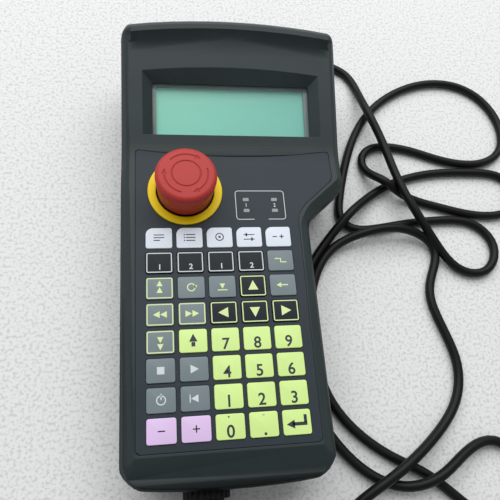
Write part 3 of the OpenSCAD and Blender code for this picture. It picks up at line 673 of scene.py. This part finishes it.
def addKey(row, col, k):
    # Rounded outlines, one above the other: a wall, then an upper edge that is a quarter circle
    low, high, centre, half = keyPlace(row, col)
    w, h = half[:2] - k["flange"]
    radii = np.array([k["corner"]] * 3 + [k["leadCorner"] if row == 1 else k["corner"]])
    a = np.radians(np.linspace(0, 90, k["edgeRings"]))
    edge = zip(k["edge"] * (1 - np.cos(a)), high[2] - k["edge"] * (1 - np.sin(a)))
    rings = []
    for inset, z in [(0, low[2] + k["foot"]), *edge]:
        outline = roundedBox(w - inset, h - inset, np.maximum(radii - inset, k["leastCorner"]))
        rings.append(np.column_stack([outline + centre[:2], np.full(len(outline), z)]))
    material = finishes[k["finish"][k["colours"][row - 1][col - 1]]]
    piece = ringedPiece(f"cap_r{row}_c{col}", np.array(rings), material, f"key_r{row}_c{col}")
    piece.data.set_sharp_from_angle(angle=np.radians(k["sharp"]))
    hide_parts(f"key_r{row}_c{col}")


for row in range(1, keys["rows"] + 1):
    for col in range(1, keys["cols"] + 1):
        addKey(row, col, keys)
print("keys made:", keys["rows"] * keys["cols"])


# Printed marks: each is (points, faces) in millimetres from the middle of its key

digits = {
    "share": 0.72,          # a digit's height, as a share of its font's size
    "fatter": 0.018,        # how far its outline moves out, as a share of the same
    "steps": 6,
    "bigAt": (0, -1.75),
    "bigHeight": 5.2,
    "bigNarrow": 0.98,
    "smallAt": (0.2, -2.1),
    "smallHeight": 2.7,
    "smallNarrow": 1.05,
}
modeFrame = {
    "half": (12.6, 8.1),
    "corner": 1.6,
    "line": 0.35,
    "gap": 3.6,             # half of the opening in the lower line
    "lightAt": (7.25, 3.05),
    "lightHalf": (1.5, 0.9),
    "lightCorner": 0.3,
    "digitHeight": 2,
}
lift = 0.02 * mm            # how far the ink lies above the key
inkOf = {"D": "inkDark", "W": "inkWhite", "L": "inkLime"}
inks = ("DDDDD", "WWWWL", "LLLLL", "LLLLL", "LDDDD", "WWDDD", "WWDDD", "DDDDD")


def bar(x, y, w, h):
    corners = np.array([(-1, -1), (1, -1), (1, 1), (-1, 1)])
    return (x, y) + corners * (w / 2, h / 2), [(0, 1, 2, 3)]


def wedge(x, y, size, turn):
    # A triangle whose tip points to the angle turn, with its two back corners 125 degrees either side of it
    a = np.radians(turn + np.array([0, 125, 235]))
    return np.stack([x + size * np.cos(a), y + size * np.sin(a)], -1), [(0, 1, 2)]


def loopBand(outer, inner, openAt=None):
    # The band between two outlines with the same number of points, open after one of them if asked
    n = len(outer)
    faces = [(i, (i + 1) % n, n + (i + 1) % n, n + i) for i in range(n) if i != openAt]
    return np.vstack([outer, inner]), faces


def hoop(x, y, r, width):
    a = np.linspace(0, 2 * np.pi, 32, endpoint=False)
    ring = np.stack([np.cos(a), np.sin(a)], -1)
    return loopBand(ring * r + (x, y), ring * (r - width) + (x, y))


def outline(halfWidth, halfHeight, radius, width):
    return loopBand(roundedBox(halfWidth, halfHeight, [radius] * 4),
                    roundedBox(halfWidth - width, halfHeight - width, [radius - width] * 4))


def digit(text, x, y, height, narrow=0.8):
    # The built-in font made a mesh, centred on x and y
    curve = bpy.data.curves.new("digit", "FONT")
    curve.body = text
    curve.size = height / digits["share"]
    curve.align_x = "CENTER"
    curve.resolution_u = digits["steps"]
    curve.offset = digits["fatter"] * curve.size
    holder = bpy.data.objects.new("digit", curve)
    bpy.context.scene.collection.objects.link(holder)
    bpy.context.view_layer.update()
    mesh = bpy.data.meshes.new_from_object(holder.evaluated_get(bpy.context.evaluated_depsgraph_get()))
    flat = readPoints(mesh)[:, :2] * (narrow, 1) + (x, y - height / 2)
    faces = [tuple(f.vertices) for f in mesh.polygons]
    bpy.data.objects.remove(holder)
    return flat, faces


def bigDigit(text, narrow=digits["bigNarrow"]):
    return digit(text, *digits["bigAt"], digits["bigHeight"], narrow)


def smallDigit(text):
    return digit(text, *digits["smallAt"], digits["smallHeight"], digits["smallNarrow"])


def printMarks(name, marks, centre, z, ink, body):
    # All marks of one key as one flat piece, just above its face
    points, faces, count = [], [], 0
    for flat, polygons in marks:
        points.append(flat * mm + centre[:2])
        faces += [[count + i for i in f] for f in polygons]
        count += len(flat)
    points = np.vstack(points)
    points = np.column_stack([points, np.full(len(points), z)])
    piece = makePiece(name, points, faces, finishes[ink], body, smooth=False)


frameLine = outline(5.92, 4.92, 0.85, 0.48)     # half width, half height, corner radius and line width
legends = {
    # Text lines, list, target, sliders, less and more
    (1, 1): [bar(0, 1.6, 5, 0.5), bar(0, 0.2, 5, 0.5), bar(-1, -1.2, 3, 0.5)],
    (1, 2): [bar(-2.4, 1.6, 0.6, 0.6), bar(0.6, 1.6, 4.4, 0.5), bar(-2.4, 0.1, 0.6, 0.6),
             bar(0.6, 0.1, 4.4, 0.5), bar(-2.4, -1.4, 0.6, 0.6), bar(0.6, -1.4, 4.4, 0.5)],
    (1, 3): [hoop(0, 0.2, 2.1, 0.5), bar(0, 0.2, 1.1, 1.1)],
    (1, 4): [bar(0, 1.2, 5.4, 0.45), bar(-1.3, 1.2, 0.8, 1.7),
             bar(0, -1.2, 5.4, 0.45), bar(1.3, -1.2, 0.8, 1.7)],
    (1, 5): [bar(-1.7, 0, 2.2, 0.5), bar(1.7, 0, 2.2, 0.5), bar(1.7, 0, 0.5, 2.2)],
    # Four framed numbers and a step
    (2, 1): [frameLine, smallDigit("1")],
    (2, 2): [frameLine, smallDigit("2")],
    (2, 3): [frameLine, smallDigit("1")],
    (2, 4): [frameLine, smallDigit("2")],
    (2, 5): [bar(-1.6, 0.9, 2.4, 0.5), bar(1.6, -0.9, 2.4, 0.5), bar(0, 0, 0.5, 2.3)],
    # Page up, reset, write, up, back
    (3, 1): [frameLine, wedge(0, 1.9, 1.7, 90), wedge(0, -1.3, 1.7, 90)],
    (3, 2): [hoop(0, 0, 2, 0.5), wedge(1.9, 0.3, 1.1, 270)],
    (3, 3): [bar(0, -1.7, 4.6, 0.5), wedge(0, 0.5, 1.6, 270)],
    (3, 4): [frameLine, wedge(0, -0.3, 2.95, 90)],
    (3, 5): [wedge(-1.7, 0, 1.5, 180), bar(0.8, 0, 3.2, 0.55)],
    # Back one, on one, left, down, right
    (4, 1): [frameLine, wedge(-1.2, 0, 1.9, 180), wedge(2, 0, 1.9, 180)],
    (4, 2): [frameLine, wedge(1.2, 0, 1.9, 0), wedge(-2, 0, 1.9, 0)],
    (4, 3): [frameLine, wedge(0.3, 0, 2.95, 180)],
    (4, 4): [frameLine, wedge(0, 0.3, 2.95, 270)],
    (4, 5): [frameLine, wedge(-0.3, 0, 2.95, 0)],
    # Page down, shift, 7 to 9
    (5, 1): [frameLine, wedge(0, -1.9, 1.7, 270), wedge(0, 1.3, 1.7, 270)],
    (5, 2): [wedge(0, 0.9, 2.3, 90), bar(0, -1.6, 1.7, 2)],
    (5, 3): [bigDigit("7")],
    (5, 4): [bigDigit("8")],
    (5, 5): [bigDigit("9")],
    # Stop, go, 4 to 6
    (6, 1): [bar(0, 0, 3.2, 3.2)],
    (6, 2): [wedge(-0.3, 0, 2.3, 0)],
    (6, 3): [bigDigit("4")],
    (6, 4): [bigDigit("5")],
    (6, 5): [bigDigit("6")],
    # Power, to the start, 1 to 3
    (7, 1): [hoop(0, 0, 2.1, 0.5), bar(0, 1.4, 0.5, 2.6)],
    (7, 2): [wedge(0.2, 0, 2, 180), bar(-2.2, 0, 0.5, 3.4)],
    (7, 3): [bigDigit("1")],
    (7, 4): [bigDigit("2")],
    (7, 5): [bigDigit("3")],
    # Less, more, 0, point, enter
    (8, 1): [bar(0, 0, 3, 0.55)],
    (8, 2): [bar(0, 0, 3, 0.55), bar(0, 0, 0.55, 3)],
    (8, 3): [bigDigit("0", 1), bar(-0.6, 4, 0.7, 0.6)],
    (8, 4): [hoop(0.4, -3.9, 0.62, 0.6), bar(0, 3.9, 1, 0.25)],
    (8, 5): [wedge(-2.4, -0.8, 2.3, 180), bar(1.3, -0.75, 6.4, 1.45), bar(3.8, 1.3, 1.4, 3.4)],
}
for (row, col), marks in legends.items():
    _, top, centre, _ = keyPlace(row, col)
    ink = inkOf[inks[row - 1][col - 1]]
    printMarks(f"print_r{row}_c{col}", marks, centre, top[2] + lift, ink, f"key_r{row}_c{col}")


def addModeFrame(f):
    # A thin frame round the four lights, open in the middle of its lower line, with the channel numbers
    low, high = (np.array(corner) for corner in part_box("mode_leds"))
    centre = (low + high) / 2
    z = keyPlace(1, 1)[1][2] - keys["proud"] + lift
    w, h = f["half"]
    x, y = f["lightAt"]
    outer, inner = (roundedBox(w - d, h - d, [f["corner"] - d] * 4) for d in (0, f["line"]))
    ends = np.array([(-f["gap"], -h), (f["gap"], -h)])
    corner = cornerSteps + 1    # the opening's ends go in after the lower left corner's points
    outer = np.vstack([outer[:corner], ends, outer[corner:]])
    inner = np.vstack([inner[:corner], ends + (0, f["line"]), inner[corner:]])
    size = f["digitHeight"]
    marks = [loopBand(outer, inner, corner), digit("1", -x, 0, size), digit("2", x, 0, size)]
    printMarks("modeFrame", marks, centre, z, "inkWhite", "housing")
    window = roundedBox(*f["lightHalf"], [f["lightCorner"]] * 4)
    face = [tuple(range(len(window)))]
    lights = [(window + place, face) for place in ((-x, -y), (-x, y), (x, -y), (x, y))]
    printMarks("modeWindows", lights, centre, z, "lightPipe", "housing")


addModeFrame(modeFrame)
print("marks printed:", len(legends))


# Stop button

mushroom = {
    "skirtRadius": 13.6 * mm,
    "topRadius": 14.7 * mm,
    "edge": 2.6 * mm,
    "edgeRings": 12,
    "crown": 0.3 * mm,
    "crownRings": 96,
    "pole": 0.2 * mm,           # radius of the last ring, which a face closes
    "wall": 1.7 * mm,
    "bevel": 0.5 * mm,          # on the skirt's lower edge
    "stemRadius": 5.6 * mm,
    "roof": 6 * mm,             # height of the inside above the skirt's lower edge
    "around": 480,
    "sharp": 50,                # degrees: steeper edges stay sharp
}
engraved = {
    "depth": 0.32 * mm,
    "circle": 6.8,              # mm, as the other lengths here: radius of the circle
    "arrows": 10.3,             # radius of the three arrows
    "arrowAt": (97, 217, 337),  # degrees, as all the angles here: the middle of each arrow
    "arrowHalf": 38,
    "tip": 49,
    "headLength": 13,
    "headHalf": 1,              # half the arrowhead's width
    "perDegree": 0.18,          # mm along the arrow's radius
    "lineHalf": 0.22,
    "soft": 0.2,                # over this width a line rises to the face
}


def engraving(radius, angle, e):
    # 1 on a line and 0 off it: a circle, and three arcs whose clockwise ends widen into arrowheads
    line = np.abs(radius / mm - e["circle"]) - e["lineHalf"]
    off = np.abs(radius / mm - e["arrows"])
    for place in e["arrowAt"]:
        turn = (np.degrees(angle) - place + 180) % 360 - 180
        fromTip = turn + e["tip"]
        arc = np.maximum(off - e["lineHalf"], (np.abs(turn) - e["arrowHalf"]) * e["perDegree"])
        width = e["headHalf"] * np.clip(fromTip / e["headLength"], 0, 1)
        head = np.maximum(off - width, np.maximum(-fromTip, fromTip - e["headLength"]) * e["perDegree"])
        line = np.minimum(line, np.minimum(arc, head))
    return 1 - ease(np.clip(line / e["soft"], 0, 1))


def addMushroom(m, e):
    # A profile turned about the stem: inside of the skirt, skirt, rounded edge, then a crown to the middle
    low, high = (np.array(corner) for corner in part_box("stop_button_head"))
    x, y = ((low + high) / 2)[:2]
    foot, top = low[2], high[2] - m["crown"]
    inside = m["skirtRadius"] - m["wall"]
    flat = m["topRadius"] - m["edge"]
    a = np.radians(np.linspace(0, 90, m["edgeRings"]))
    side = [(m["stemRadius"], foot + m["roof"]), (inside, foot + m["roof"]), (inside, foot),
            (m["skirtRadius"] - m["bevel"], foot), (m["skirtRadius"], foot + m["bevel"])]
    edge = np.stack([m["topRadius"] - m["edge"] * (1 - np.cos(a)), top - m["edge"] * (1 - np.sin(a))], -1)
    inner = np.linspace(flat, m["pole"], m["crownRings"])[1:]
    crown = np.stack([inner, top + m["crown"] * (1 - (inner / flat) ** 2)], -1)
    profile = np.vstack([side, edge, crown])
    angle = np.linspace(0, 2 * np.pi, m["around"], endpoint=False)
    radius, turn = np.meshgrid(profile[:, 0], angle, indexing="ij")
    height = np.repeat(profile[:, 1:2], m["around"], axis=1)
    onCrown = np.arange(len(profile)) >= len(side) + len(edge)
    cut = engraving(radius, turn, e) * onCrown[:, None]
    rings = np.stack([x + radius * np.cos(turn), y + radius * np.sin(turn), height - e["depth"] * cut], -1)
    piece = ringedPiece("mushroomHead", rings, finishes["mushroom"], "stop_button_head")
    # Painted shade in the engraved lines, following the cut
    writePaintedShade(piece.data, cut.ravel())
    piece.data.set_sharp_from_angle(angle=np.radians(m["sharp"]))
    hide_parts("stop_button_head")


addMushroom(mushroom, engraved)
print("stop button made")


# Floor

ground = {
    "half": 1.6,
    "colour": (0.87, 0.89, 0.885),
    "speck": (0.67, 0.69, 0.685),
    "speckScale": 620,
    "speckRange": (0.36, 0.52),
    "roughness": 0.75,
}


def addFloor(g):
    h = g["half"]
    mesh = bpy.data.meshes.new("floor")
    mesh.from_pydata([(-h, -h, 0), (h, -h, 0), (h, h, 0), (-h, h, 0)], [], [(0, 1, 2, 3)])
    material, tree, base = shader("paleFloor", g["colour"], g["roughness"])
    mottle(tree, base, g["speck"], g["colour"], g["speckScale"], *g["speckRange"])
    mesh.materials.append(material)
    floor = bpy.data.objects.new("floor", mesh)
    bpy.context.scene.collection.objects.link(floor)


addFloor(ground)
print("floor laid")
